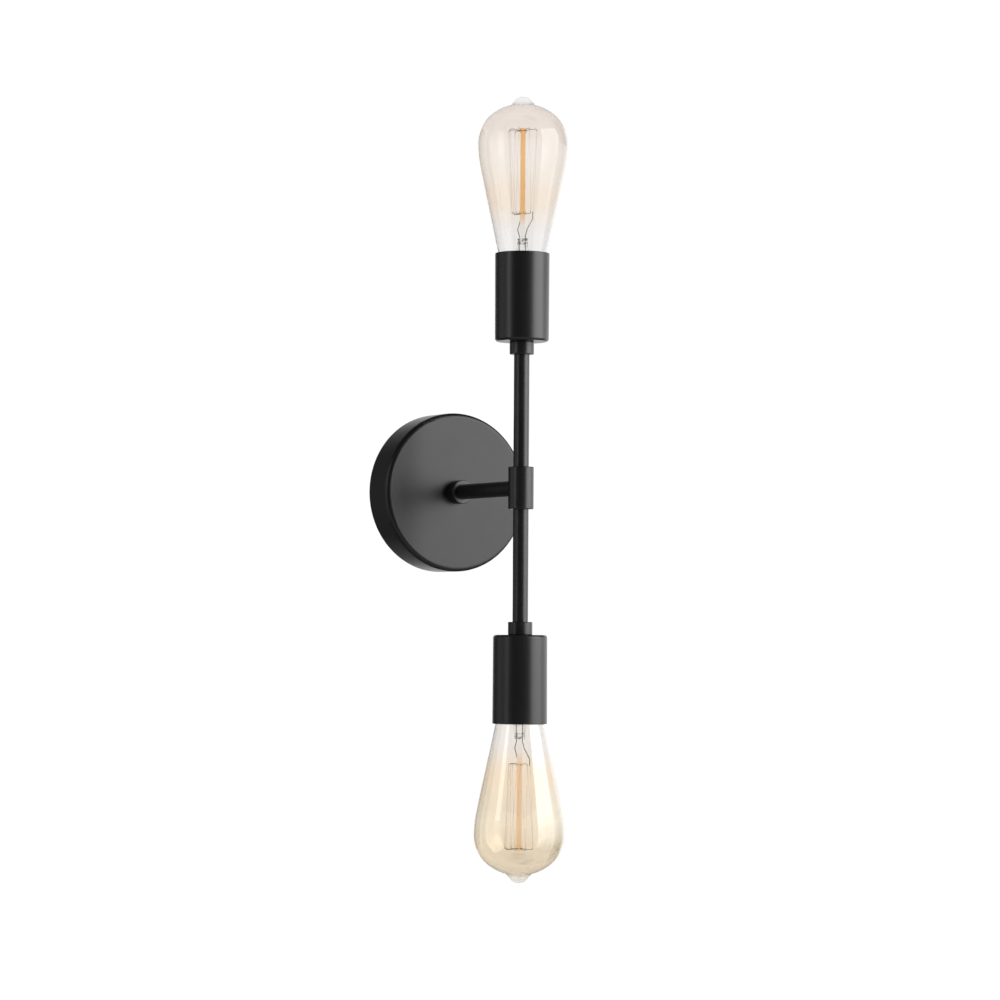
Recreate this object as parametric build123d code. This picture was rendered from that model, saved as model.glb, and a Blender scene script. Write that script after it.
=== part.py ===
from build123d import *
import os
from math import asin, atan2, cos, degrees, hypot, radians, sin, sqrt, tan

# A double wall light: a round canopy, one arm, an upright column with a lamp socket at each end,
# and two pear shaped filament bulbs. Sizes are in millimetres. The wall is the plane Y = 0, the light
# stands out towards -Y, Z is up, and the origin is where the arm's axis meets the wall.

# Overall sizes
reach = 119.0                   # wall to the column's axis
mouth_span = 327.0              # mouth of the upper cup to mouth of the lower cup

# Fits
thread_play = 0.05              # radial play of a screwed joint
hole_play = 0.2                 # radial play of a clearance hole
flat_gap = 0.05                 # flat faces of pieces that turn on each other
run_gap = 0.3                   # running gap of pieces that move past each other

# Canopy, a drawn dish with its open side to the wall
canopy_diameter = 114.3
canopy_depth = 27.0
canopy_wall = 1.2
canopy_edge = 3.2               # rounding of the front edge, outside

# Mounting strap with an ear at each end
strap_width = 20.0
strap_thickness = 1.8
strap_bend = 1.5                # inside radius where the ears are bent
strap_corner = 4.0              # rounding of the ears' ends
ear_height = 13.0
ear_gap = 4.6                   # ear to the inside of the canopy's wall
slot_width = 5.0
slot_length = 14.4
slot_setback = 4.45             # outer end of a slot to the outside of its ear
stud_hole = 10.3

# Set screws in the canopy's wall, which press on the ears
set_screw = 4.0
set_screw_edge = 0.5
set_screw_height = 7.0          # above the wall
set_screw_socket = 2.0          # width and depth of the key's socket
weld_nut_width = 7.0
weld_nut_thickness = 3.0

# Small slotted screws
driver_slot = 0.8
driver_depth = 0.8

# Steel tube of the arm and the column
tube_diameter = 10.8
tube_bore = 7.0
tube_edge = 0.5

# Arm fastening inside the canopy
arm_nut_wall = 2.4              # flat of the nut to its bore
arm_nut_thickness = 4.0
lock_washer_wall = 2.0
lock_washer_thickness = 1.2
lock_washer_split = 1.0
lock_washer_turn = 30.0         # where the split stands
arm_tail = 3.0                  # tube past the nut
arm_stop = 0.4                  # end of the arm to the column's bore

# Collars and hub
collar_diameter = 17.0
collar_length = 9.0
hub_diameter = 17.7
hub_length = 29.4
hub_hollow = 12.0               # between the ends of the two rods
turned_edge = 0.6               # edge rounding of turned pieces

# Cups
cup_wall = 1.0
cup_crown_edge = 2.0
cup_lip_edge = 0.33
cup_draft = 0.2                 # the mouth's radius over the crown's
cup_play = 0.8                  # lampholder to cup
mouth_overhang = 13.5           # cup mouth past the lampholder

# Bracket that clamps a cup and carries its lampholder
boss_height = 5.0
boss_wall = 2.3
bracket_plate = 1.2
bracket_margin = 2.5            # plate past the middle of its screws
bracket_screw = 3.0
bracket_screw_head = 5.4
bracket_screw_head_height = 1.8
bracket_screw_gap = 0.75        # screw head to boss
bracket_screw_depth = 7.0       # in the lampholder
rod_proud = 0.5                 # rod end past the bracket

# Lampholder
holder_height = 42.0
holder_wall = 3.0               # around the screw shell
holder_step = 0.8               # the upper part is this much slimmer
holder_step_height = 3.5        # wider part past the well's floor
holder_edge = 1.0
chamber_height = 9.0
chamber_radius = 8.5
floor_thickness = 3.5
shell_wall = 0.4
shell_lip = 1.6
shell_setback = 0.8             # shell below the lampholder's rim
terminal_screw = 3.2
terminal_head = 6.2
terminal_head_height = 1.7
terminal_height = 4.5           # above the lampholder's bottom
pocket_width = 8.4
strip_thickness = 0.6
strip_width = 5.0
strip_tail = 3.0                # strip past its terminal screw
strip_cover = 1.15              # porcelain outside the neutral strip
live_gap = 1.0                  # live strip to the lip of the screw shell
tab_width = 5.0
tab_thickness = 0.5
tab_bend = 1.0
tab_root = 3.0                  # flat end of the tab
tab_rise = 4.7                  # floor to the top of the tab
tab_pad = 3.0                   # half the flat that the bulb presses on

# Bulb envelope, a pear shape on a neck
bulb_diameter = 64.0
bulb_length = 148.0
bulb_belly = 33.0               # tip to the widest place
bulb_dome = 28.0                # height of the dome over the widest place
bulb_flank = 80.0               # radius that leads from the widest place to the cone
bulb_wall = 0.9
bulb_shoulder = 26.0            # radius of the dome's shoulder
bulb_tip_radius = 8.0
bulb_tip_root = 8.0
bulb_tip_plug = 1.3             # sealed glass under the dome's top
mouth_glass_gap = 0.8           # glass to the cup at the mouth
neck_play = 0.45                # neck to the inside of the base
neck_depth = 9.0                # neck inside the base
neck_rise = 1.0                 # neck past the base's rim
neck_shoulder = 3.0             # shoulder of the cone past the base's rim

# Bulb base, 26 mm screw
base_diameter = 26.1
base_play = 0.35                # base to screw shell
base_wall = 0.5
base_height = 26.0              # contact to rim
base_taper = 2.0                # height of the taper at the foot
base_bend = 1.0
base_rim = 0.6                  # the rim stands this far over the thread
base_rim_height = 1.0
insulator_height = 4.8
insulator_radius = 9.4
insulator_foot = 5.2
contact_radius = 4.6
contact_height = 1.8
contact_round = 1.26

# Bulb stem: heights are above the bulb's contact
flare_play = 0.1
flare_edge = 1.5
flare_height = 9.0
flare_bend = 3.0
stem_radius = 4.5
stem_wall = 1.0
press_top = 48.5
press_height = 8.0
press_width = 8.6
press_depth = 3.6
arbor_radius = 1.75
arbor_root = 1.0                # arbor inside the press
button_radius = 2.6
button_height = 3.6
button_round = 1.3

# Filament with its hooks and leads
lower_spider = 66.5
upper_spider = 124.0
lower_cage = 7.6                # radius of the filament at the lower spider
upper_cage = 10.4
cage_sweep = 260.0              # angle that the filament goes round
upper_hooks = 6
hook_lift = 0.8
hook_crown = 4.0                # outer stretch of a hook
hook_bend = 0.8
hook_root = 0.8                 # axis to the inner end of a hook
support_wire = 0.4
filament_wire = 0.12
filament_gap = 0.08             # filament to its hooks and leads
lead_wire = 0.7
lead_spread = 2.6
lead_drop = 3.0                 # leads cross this far under the neck's foot
lead_riser = 4.0
lead_clear = 1.5                # straight lead past the press
lead_rise = 6.5                 # press to the widest part of the leads
lead_bow = 4.2                  # axis to a lead at its widest part
lead_knee = 4.0
lead_end = 1.0                  # lead past the filament's end
lead_bend = 1.5
bulb_turns = {"upper": 111.5, "lower": 68.5}

# Wires and splices
wire_diameter = 2.0
wire_play = 0.24                # wire to the tube's bore
wire_bend = 4.0
terminal_bend = 3.2
splice_drop = 7.8               # splice past the arm's end
splice_mouth = 12.0             # arm's axis to the mouth of a splice cap
splice_length = 14.0
splice_radius = 4.4
splice_nose = 3.1
splice_wall = 1.3
splice_end = 3.0
splice_edge = 0.4
splice_round = 1.0
splice_grip = 8.0               # wire inside a splice cap

# Ground jumper
ground_screw = 4.0
ground_screw_drop = 18.0
ground_washer = 8.0
ground_washer_height = 0.6
ground_hexagon = 6.4
ground_head_height = 2.4
lug_thickness = 0.8
lug_rim = 3.0
lug_tongue = 2.0
lug_barrel = 5.0
lug_barrel_wall = 0.8
lug_turn = -45.0                # the lugs point down and to the right
ground_loop = 12.0              # straight wire past a lug
ground_bend = 7.0

# Radii that follow from the bulb's base outwards
base_radius = base_diameter / 2
shell_bore = base_radius + base_play
shell_radius = shell_bore + shell_wall
lip_radius = shell_bore - shell_lip
holder_bore = shell_radius + hole_play
holder_radius = holder_bore + holder_wall
cup_radius = holder_radius + cup_play + cup_wall
mouth_radius = cup_radius + cup_draft
neck_radius = base_radius - base_wall - neck_play
neutral_strip_in = lip_radius + flat_gap
live_strip_in = lip_radius - live_gap - strip_thickness
live_strip_out = live_strip_in + strip_thickness
tab_pivot = live_strip_out - tab_root
terminal_seat = neutral_strip_in + strip_thickness + strip_cover

# Radii that follow from the tube
tube_radius = tube_diameter / 2
tapped_radius = tube_radius + thread_play
clear_radius = tube_radius + hole_play
boss_radius = tube_radius + boss_wall
bracket_screw_circle = boss_radius + bracket_screw_gap + bracket_screw_head / 2
bracket_radius = bracket_screw_circle + bracket_margin
wire_spread = (tube_bore / 2 - wire_diameter / 2 - wire_play) / sqrt(2)

# Heights along the column, from the arm's axis
mouth_height = mouth_span / 2
cup_height = cup_wall + boss_height + holder_height + mouth_overhang
crown_height = mouth_height - cup_height
crown_inside = crown_height + cup_wall
holder_bottom = crown_inside + boss_height
holder_top = holder_bottom + holder_height
floor_bottom = holder_bottom + chamber_height
floor_top = floor_bottom + floor_thickness
terminal_level = holder_bottom + terminal_height
bulb_seat = floor_top + tab_rise + run_gap

# Places along the arm, from the wall
canopy_floor = canopy_depth - canopy_wall
lug_back = canopy_floor - lug_thickness
washer_back = lug_back - lock_washer_thickness
nut_back = washer_back - arm_nut_thickness
arm_start = nut_back - arm_tail
arm_end = reach - tapped_radius - arm_stop
splice_height = arm_start - splice_drop
ear_reach = canopy_diameter / 2 - canopy_wall - ear_gap
slot_middle = ear_reach - slot_setback - slot_length / 2

# The canopy's pieces are drawn with Z towards the room, and the column's with Z along the column
from_wall = Rot(90, 0, 0)
ends = {"upper": Pos(0, -reach, 0), "lower": Pos(0, -reach, 0) * Rot(180, 0, 0)}
both_sides = (0, 180)


def turned(*corners):
    """Solid turned about Z from the corners of its half section: radius, height and rounding."""
    points = [(radius, height) for radius, height, rounding in corners]
    roundings = [rounding for radius, height, rounding in corners]
    outline = FilletPolyline(*points, radius=roundings, close=True)
    return revolve(Plane.XZ * make_face(outline), Axis.Z)


def ring(outer, bore, bottom, top, edge=0):
    """Turned ring with rounded outer edges."""
    return turned((bore, bottom, 0), (outer, bottom, edge), (outer, top, edge), (bore, top, 0))


def rod(radius, bottom, top):
    """Plain cylinder on Z, for shanks and holes."""
    return Pos(0, 0, bottom) * extrude(Circle(radius), top - bottom)


def block(x0, x1, width, z0, z1):
    """Box between two places in X and in Z, centred in Y."""
    return Pos((x0 + x1) / 2, 0, (z0 + z1) / 2) * Box(x1 - x0, width, z1 - z0)


def sideways(height, piece):
    """A piece on Z laid along X at a height."""
    return Pos(0, 0, height) * Rot(0, 90, 0) * piece


def around(angles, piece):
    return [Rot(0, 0, angle) * piece for angle in angles]


def bent_wire(diameter, bends, *points):
    """Round wire along straight runs that are joined by tangent arcs."""
    path = FilletPolyline(*points, radius=bends)
    return sweep(Plane(path @ 0, z_dir=path % 0) * Circle(diameter / 2), path)


def hexagon(width, bottom, top):
    """Hexagon bar on Z whose corners are turned off at 30 degrees."""
    face = width / 2
    corner = face / cos(radians(30))
    drop = (corner - face) * tan(radians(30))
    prism = Pos(0, 0, bottom) * extrude(RegularPolygon(face, 6, major_radius=False), top - bottom)
    blank = turned((0, bottom, 0), (face, bottom, 0), (corner, bottom + drop, 0),
                   (corner, top - drop, 0), (face, top, 0), (0, top, 0))
    return prism & blank


def pan_screw(shank, length, head, height):
    """Slotted screw on Z, with its head above Z = 0."""
    body = turned((0, -length, 0), (shank / 2, -length, 0), (shank / 2, 0, 0), (head / 2, 0, 0),
                  (head / 2, height, height / 2), (0, height, 0))
    return body - block(-head, head, driver_slot, height - driver_depth, height)


# Canopy and what is inside it

def canopy():
    outer = canopy_diameter / 2
    inner = outer - canopy_wall
    dish = turned((clear_radius, canopy_floor, 0), (inner, canopy_floor, canopy_edge - canopy_wall),
                  (inner, 0, 0), (outer, 0, 0), (outer, canopy_depth, canopy_edge),
                  (clear_radius, canopy_depth, 0))
    hole = sideways(set_screw_height, rod(set_screw / 2 + thread_play, ear_reach, outer + canopy_wall))
    return dish - around((90, -90), hole)


def mounting_strap():
    """Flat bar with two ears bent towards the room, drawn with its length along Y."""
    middle = ear_reach - strap_thickness / 2
    path = FilletPolyline((-middle, ear_height), (-middle, strap_thickness / 2),
                          (middle, strap_thickness / 2), (middle, ear_height),
                          radius=strap_bend + strap_thickness / 2)
    bar = extrude(Plane.YZ * trace(path, line_width=strap_thickness), strap_width / 2, both=True)
    bar = fillet(bar.edges().filter_by(Axis.Y).group_by(Axis.Z)[-1], strap_corner)
    slot = extrude(SlotOverall(slot_length, slot_width, rotation=90), strap_thickness)
    bar -= [Pos(0, slot_middle, 0) * slot, Pos(0, -slot_middle, 0) * slot]
    bar -= rod(stud_hole / 2, 0, strap_thickness)
    return bar - Pos(0, -ground_screw_drop, 0) * rod(ground_screw / 2 + thread_play, 0, strap_thickness)


def set_screws():
    """Two hexagon socket set screws, flush with the canopy's wall, with their points on the ears."""
    end = canopy_diameter / 2
    screw = ring(set_screw / 2, 0, ear_reach, end, set_screw_edge)
    socket = extrude(RegularPolygon(set_screw_socket / 2, 6, major_radius=False), set_screw_socket)
    screw -= Pos(0, 0, end - set_screw_socket) * socket
    return around((90, -90), sideways(set_screw_height, screw))


def weld_nuts():
    """Two nuts welded to the inside of the canopy's wall, which carry the set screws."""
    inner = canopy_diameter / 2 - canopy_wall
    outer = inner + canopy_wall
    start = inner - weld_nut_thickness
    nut = hexagon(weld_nut_width, start, outer) - rod(set_screw / 2 + thread_play, start, outer)
    inside = rod(inner, 0, canopy_depth)
    return around((90, -90), sideways(set_screw_height, nut) & inside)


def arm_nut():
    width = 2 * (tube_radius + arm_nut_wall)
    return hexagon(width, nut_back, washer_back) - rod(tapped_radius, nut_back, washer_back)


def arm_lock_washer():
    """Split spring washer under the arm's nut."""
    outer = clear_radius + lock_washer_wall
    split = Rot(0, 0, lock_washer_turn) * block(0, outer, lock_washer_split, washer_back, lug_back)
    return ring(outer, clear_radius, washer_back, lug_back) - split


def splice_cap(side):
    """Closed crimp cap over the ends of two wires."""
    end = splice_mouth + splice_length
    bore = splice_radius - splice_wall
    cap = turned((bore, splice_mouth, 0), (splice_radius, splice_mouth, splice_edge),
                 (splice_radius, end - splice_end, splice_round), (splice_nose, end, splice_round),
                 (0, end, 0), (0, end - splice_end, 0), (bore, end - splice_end, splice_round))
    return Pos(0, -splice_height, 0) * Rot(0, side * 90, 0) * cap


# Ground jumper from the arm's nut to the strap

barrel_radius = wire_diameter / 2 + lug_barrel_wall
under_nut = Pos(0, 0, canopy_floor) * Rot(0, 0, lug_turn) * Rot(180, 0, 0)
under_screw = Pos(0, -ground_screw_drop, strap_thickness) * Rot(0, 0, lug_turn)
lug_holes = {"nut": clear_radius, "screw": ground_screw / 2 + hole_play}


def ring_lug(hole):
    """Crimped ring lug lying on Z = 0, with its barrel along +X."""
    outer = hole + lug_rim
    start = outer + lug_tongue
    lug = rod(outer, 0, lug_thickness) + block(0, start + lug_barrel / 2, 2 * barrel_radius, 0, lug_thickness)
    lug += sideways(barrel_radius, rod(barrel_radius, start, start + lug_barrel))
    lug -= sideways(barrel_radius, rod(wire_diameter / 2, start, start + lug_barrel))
    return lug - rod(hole, 0, lug_thickness)


def ground_wire():
    """Jumper in an open loop from one lug's barrel to the other's."""
    points = []
    for place, hole in ((under_nut, lug_holes["nut"]), (under_screw, lug_holes["screw"])):
        start = hole + lug_rim + lug_tongue
        for along in (start, start + lug_barrel + ground_loop):
            points.append((place * Pos(along, 0, barrel_radius)).position)
    first, first_turn, last, last_turn = points
    return bent_wire(wire_diameter, ground_bend, first, first_turn, last_turn, last)


def ground_bolt():
    """Slotted hexagon screw with a washer face, flush with the strap's back."""
    length = strap_thickness + lug_thickness
    head = rod(ground_washer / 2, 0, ground_washer_height)
    head += hexagon(ground_hexagon, ground_washer_height, ground_head_height)
    head -= block(-ground_washer, ground_washer, driver_slot, ground_head_height - driver_depth,
                  ground_head_height)
    return Pos(0, -ground_screw_drop, length) * (head + rod(ground_screw / 2, -length, 0))


# Column: hub and sockets

def hub():
    """Upright cross piece: the rods screw into its two ends and the arm into its side."""
    body = ring(hub_diameter / 2, tapped_radius, -hub_length / 2, hub_length / 2, turned_edge)
    return body - Rot(-90, 0, 0) * rod(tapped_radius, 0, hub_diameter)


def cup():
    return turned((clear_radius, crown_height, 0), (cup_radius, crown_height, cup_crown_edge),
                  (mouth_radius, mouth_height, cup_lip_edge),
                  (mouth_radius - cup_wall, mouth_height, cup_lip_edge),
                  (cup_radius - cup_wall, crown_inside, cup_crown_edge - cup_wall),
                  (clear_radius, crown_inside, 0))


def socket_bracket():
    """Pressed plate with a tapped boss, which clamps the cup's crown and carries the lampholder."""
    plate_bottom = holder_bottom - bracket_plate
    plate = ring(bracket_radius, tapped_radius, plate_bottom, holder_bottom)
    plate += ring(boss_radius, tapped_radius, crown_inside, holder_bottom)
    hole = Pos(0, bracket_screw_circle, 0) * rod(bracket_screw / 2 + hole_play, plate_bottom, holder_bottom)
    return plate - around(both_sides, hole)


def bracket_screws():
    screw = pan_screw(bracket_screw, bracket_plate + bracket_screw_depth, bracket_screw_head,
                      bracket_screw_head_height)
    seated = Pos(0, bracket_screw_circle, holder_bottom - bracket_plate) * Rot(180, 0, 0) * screw
    return around(both_sides, seated)


def terminal_hole():
    return sideways(terminal_level, rod(terminal_screw / 2 + thread_play, 0, holder_radius))


def strip_slot(inner):
    """Room in the lampholder for an upright contact strip."""
    return block(inner - flat_gap, inner + strip_thickness + flat_gap, strip_width + 2 * flat_gap,
                 terminal_level - strip_tail - flat_gap, floor_top)


def lampholder():
    """Porcelain body: the bulb's well above, the wiring chamber and two terminal pockets below."""
    step = floor_top + holder_step_height
    slim = holder_radius - holder_step
    body = turned((0, holder_bottom, 0), (holder_radius, holder_bottom, holder_edge),
                  (holder_radius, step, holder_step / 2), (slim, step, holder_step / 2),
                  (slim, holder_top, holder_edge), (0, holder_top, 0))
    body -= rod(holder_bore, floor_top, holder_top)
    body -= rod(chamber_radius, holder_bottom, floor_bottom)
    pocket = block(terminal_seat, holder_radius + cup_play, pocket_width, holder_bottom, floor_bottom)
    tapped = Pos(0, bracket_screw_circle, 0) * rod(
        bracket_screw / 2 + thread_play, holder_bottom, holder_bottom + bracket_screw_depth + flat_gap)
    for cut in (pocket, terminal_hole(), tapped):
        body -= around(both_sides, cut)
    return body - strip_slot(live_strip_in) - Rot(0, 0, 180) * strip_slot(neutral_strip_in)


def screw_shell():
    """Thin screw shell with a lip at its foot and a strip down to the neutral terminal."""
    foot = floor_top + flat_gap
    top = holder_top - shell_setback
    shell = turned((lip_radius, foot, 0), (shell_radius, foot, 0), (shell_radius, top, 0),
                   (shell_bore, top, 0), (shell_bore, foot + shell_wall, 0),
                   (lip_radius, foot + shell_wall, 0))
    strip = block(neutral_strip_in, neutral_strip_in + strip_thickness, strip_width,
                  terminal_level - strip_tail, foot + shell_wall)
    return shell + Rot(0, 0, 180) * (strip - terminal_hole())


def live_strip():
    """Angle strip from the live terminal up to the floor of the bulb's well."""
    top = floor_top + strip_thickness
    upright = block(live_strip_in, live_strip_out, strip_width, terminal_level - strip_tail, top)
    flat = block(tab_pivot, live_strip_out, strip_width, floor_top + flat_gap, top)
    return upright + flat - terminal_hole()


def contact_tab():
    """Sprung tongue that the bulb's contact presses on: flat root, slope and flat pad."""
    root = floor_top + strip_thickness + run_gap + tab_thickness / 2
    top = floor_top + tab_rise - tab_thickness / 2
    path = FilletPolyline((live_strip_out, root), (tab_pivot, root), (tab_pad, top), (-tab_pad, top),
                          radius=tab_bend)
    return extrude(Plane.XZ * trace(path, line_width=tab_thickness), tab_width / 2, both=True)


def terminal_screws():
    length = terminal_seat - chamber_radius - run_gap
    screw = pan_screw(terminal_screw, length, terminal_head, terminal_head_height)
    return around(both_sides, sideways(terminal_level, Pos(0, 0, terminal_seat) * screw))


def lamp_wire(side, up):
    """Insulated wire from a terminal through rod, hub and arm to its splice in the canopy."""
    across = side * wire_spread
    level = up * wire_spread
    return bent_wire(
        wire_diameter, [terminal_bend, wire_bend, wire_bend],
        (side * (chamber_radius + flat_gap), -reach, up * terminal_level),
        (across, -reach, up * terminal_level), (across, -reach, level), (across, -splice_height, level),
        (side * (splice_mouth + splice_grip), -splice_height, level))


# Bulb, drawn on Z from its contact

def bulb_outline(inset):
    """Edges of the envelope's half section, from the neck's foot to the dome's top, drawn in by an inset."""
    belly = bulb_diameter / 2 - inset
    belly_level = bulb_length - bulb_belly
    mouth = mouth_radius - cup_wall - mouth_glass_gap - inset
    mouth_level = mouth_height - bulb_seat
    neck = neck_radius - inset

    # The cone passes the cup's mouth and runs tangent into the flank's arc
    centre = belly - bulb_flank
    away = hypot(centre - mouth, belly_level - mouth_level)
    slope = atan2(belly_level - mouth_level, centre - mouth) - asin(bulb_flank / away)
    cone = sqrt(away ** 2 - bulb_flank ** 2)
    flank = (mouth + cone * cos(slope), mouth_level + cone * sin(slope))
    half_turn = (radians(90) - slope) / 2
    flank_middle = (centre + bulb_flank * cos(half_turn), belly_level - bulb_flank * sin(half_turn))
    shoulder_level = base_height + neck_shoulder
    shoulder = mouth - (mouth_level - shoulder_level) / tan(slope)
    lower = FilletPolyline((neck, base_height - neck_depth), (neck, base_height + neck_rise),
                           (shoulder, shoulder_level), flank, radius=[neck_rise, 2 * neck_rise])
    side = ThreePointArc(flank, flank_middle, (belly, belly_level))

    # The dome is a shoulder arc that runs into a cap arc centred on the axis
    dome = bulb_dome - inset
    arc = bulb_shoulder - inset
    cap = ((belly - arc) ** 2 + dome ** 2 - arc ** 2) / (2 * (dome - arc))
    drop = cap - dome
    angle = degrees(atan2(drop, belly - arc))
    over = CenterArc((belly - arc, belly_level), arc, 0, angle)
    top = CenterArc((0, belly_level - drop), cap, angle, 90 - angle)
    return [lower, side, over, top]


def bulb_glass():
    """Pear shaped envelope, open at its neck and closed by a sealed tip."""
    outside = bulb_outline(0)
    inside = bulb_outline(bulb_wall)
    closing = [Line(outside[-1] @ 1, inside[-1] @ 1), Line(inside[0] @ 0, outside[0] @ 0)]
    wall = make_face(Curve() + outside + inside + closing)

    # The tip is a small cap that stands on the dome, with a soft root
    dome = outside[-1]
    tip_middle = bulb_length - bulb_tip_radius
    tip_depth = bulb_belly - bulb_dome + bulb_tip_plug
    wall += Pos(0, tip_middle) * Circle(bulb_tip_radius) & Pos(bulb_tip_radius, bulb_length) * Rectangle(
        2 * bulb_tip_radius, 2 * tip_depth)
    gap = tip_middle - dome.arc_center.Y
    along = (gap ** 2 + dome.radius ** 2 - bulb_tip_radius ** 2) / (2 * gap)
    root = Vector(sqrt(dome.radius ** 2 - along ** 2), dome.arc_center.Y + along)
    wall = fillet(wall.vertices().sort_by_distance(root)[0], bulb_tip_root)
    return revolve(Plane.XZ * wall, Axis.Z)


def bulb_base():
    """Thin metal base, drawn without its rolled thread."""
    inner = base_radius - base_wall
    rim = base_radius + base_rim
    grip = insulator_radius + flat_gap
    foot = contact_height + insulator_height
    knee = foot + base_taper
    rim_foot = base_height - base_rim_height
    return turned((grip, foot - base_wall, 0), (grip + base_wall, foot - base_wall, 0),
                  (base_radius, knee, base_bend), (base_radius, rim_foot - base_rim_height, 0),
                  (rim, rim_foot, 0), (rim, base_height, 0), (inner, base_height, 0),
                  (inner, knee, base_bend / 2), (grip, foot, 0))


def bulb_insulator():
    """Black glass cone between the base and the contact, with a hole for a lead."""
    foot = contact_height + flat_gap
    top = contact_height + insulator_height
    hole = lead_wire / 2 + hole_play
    return turned((hole, foot, 0), (insulator_foot, foot, 0), (insulator_radius, top - base_wall, 0),
                  (insulator_radius, top, 0), (hole, top, 0))


def bulb_contact():
    return turned((0, 0, 0), (contact_radius, 0, contact_round), (contact_radius, contact_height, 0),
                  (0, contact_height, 0))


def on_circle(radius, angle, height):
    return Vector(radius * cos(radians(angle)), radius * sin(radians(angle)), height)


def cage_angles():
    """Angles of the filament's turning places, at the lower and at the upper spider."""
    step = cage_sweep / upper_hooks
    start = 90 - cage_sweep / 2
    lower = [start + step * place for place in range(upper_hooks + 1)]
    upper = [start + step * (place + 0.5) for place in range(upper_hooks)]
    return lower, upper


def filament():
    """One fine wire up and down between the two spiders, from one lead to the other."""
    lower, upper = cage_angles()
    corners = []
    for place, angle in enumerate(lower):
        corners.append(on_circle(lower_cage, angle, lower_spider))
        if place < upper_hooks:
            corners.append(on_circle(upper_cage, upper[place], upper_spider))
    cage = Part() + [Pos(corner) * Sphere(filament_wire / 2) for corner in corners]
    for start, end in zip(corners, corners[1:]):
        run = end - start
        cage += Plane(start, z_dir=run) * extrude(Circle(filament_wire / 2), run.length)
    return cage


def filament_supports():
    """Hook wires that stand out from the two glass buttons."""
    lower, upper = cage_angles()
    touch = filament_wire / 2 + filament_gap + support_wire / 2
    hooks = []
    for radius, height, angles, lift in ((lower_cage, lower_spider, lower[1:-1], -hook_lift),
                                         (upper_cage, upper_spider, upper, hook_lift)):
        tip = radius - touch
        wire = bent_wire(support_wire, hook_bend, (hook_root, 0, height),
                         (tip - hook_crown, 0, height + lift), (tip, 0, height + lift),
                         (tip, 0, height - lift))
        hooks += around(angles, wire)
    return hooks


def bulb_leads():
    """Two leads, one from the base and one from the contact, through the stem to the filament."""
    lower, upper = cage_angles()
    tip = lower_cage - filament_wire / 2 - filament_gap - lead_wire / 2
    level = base_height - neck_depth - lead_drop
    from_base = [(base_radius - base_wall - flat_gap, 0, level)]
    from_contact = [(0, 0, contact_height + flat_gap), (0, 0, level - lead_riser)]
    leads = []
    for side, tail, angle in ((1, from_base, lower[0]), (-1, from_contact, lower[-1])):
        path = tail + [(side * lead_spread, 0, level), (side * lead_spread, 0, press_top + lead_clear),
                       (side * lead_bow, 0, press_top + lead_rise),
                       on_circle(tip, angle, lower_spider - lead_knee),
                       on_circle(tip, angle, lower_spider + lead_end)]
        leads.append(bent_wire(lead_wire, lead_bend, *path))
    return leads


def bulb_stem():
    """Glass stem: flare sealed in the neck, tube, flat press, and the arbor with its two buttons."""
    flare = neck_radius - bulb_wall - flare_play
    foot = base_height - neck_depth + bulb_wall
    bend = foot + flare_height
    tube_top = press_top - press_height
    bore = stem_radius - stem_wall
    body = turned((flare - stem_wall, foot, 0), (flare, foot, 0), (flare, foot + flare_edge, 0),
                  (stem_radius, bend, flare_bend), (stem_radius, tube_top, 0), (0, tube_top, 0),
                  (0, tube_top - stem_wall, 0), (bore, tube_top - stem_wall, 0), (bore, bend, flare_bend))
    flat = Pos(0, 0, press_top - press_height / 2) * Ellipse(press_width / 2, press_depth / 2)
    body += loft([Pos(0, 0, tube_top) * Circle(stem_radius), flat])
    body += extrude(flat, press_height / 2)
    body += rod(arbor_radius, press_top - arbor_root, upper_spider)
    for height in (lower_spider, upper_spider):
        low = height - button_height / 2
        high = height + button_height / 2
        body += turned((0, low, 0), (button_radius, low, button_round), (button_radius, high, button_round),
                       (0, high, 0))
    return body - filament_supports() - bulb_leads()


# Every node: its name and its solid, or its list of solids
nodes = {
    "mounting_strap": from_wall * mounting_strap(),
    "ground_screw": from_wall * ground_bolt(),
    "ground_lugs": [from_wall * under_nut * ring_lug(lug_holes["nut"]),
                    from_wall * under_screw * ring_lug(lug_holes["screw"])],
    "ground_wire": from_wall * ground_wire(),
    "canopy": from_wall * canopy(),
    "canopy_weld_nuts": [from_wall * nut for nut in weld_nuts()],
    "canopy_set_screws": [from_wall * screw for screw in set_screws()],
    "arm_nut": from_wall * arm_nut(),
    "arm_lock_washer": from_wall * arm_lock_washer(),
    "arm_collar": from_wall * ring(collar_diameter / 2, tapped_radius, canopy_depth,
                                   canopy_depth + collar_length, turned_edge),
    "arm_tube": from_wall * ring(tube_radius, tube_bore / 2, arm_start, arm_end, tube_edge),
    "hub": Pos(0, -reach, 0) * hub(),
    "live_splice_cap": splice_cap(1),
    "neutral_splice_cap": splice_cap(-1),
}

column_pieces = {
    "rod": ring(tube_radius, tube_bore / 2, hub_hollow / 2, holder_bottom + rod_proud, tube_edge),
    "collar": ring(collar_diameter / 2, tapped_radius, crown_height - collar_length, crown_height,
                   turned_edge),
    "cup": cup(),
    "socket_bracket": socket_bracket(),
    "bracket_screws": bracket_screws(),
    "lampholder": lampholder(),
    "screw_shell": screw_shell(),
    "live_strip": live_strip(),
    "contact_tab": contact_tab(),
    "terminal_screws": terminal_screws(),
}

bulb_pieces = {
    "bulb_glass": bulb_glass(),
    "bulb_base": bulb_base(),
    "bulb_insulator": bulb_insulator(),
    "bulb_contact": bulb_contact(),
    "bulb_stem": bulb_stem(),
    "bulb_leads": bulb_leads(),
    "filament_supports": filament_supports(),
    "filament": filament(),
}


def placed(place, piece):
    return [place * solid for solid in piece] if isinstance(piece, list) else place * piece


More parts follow.
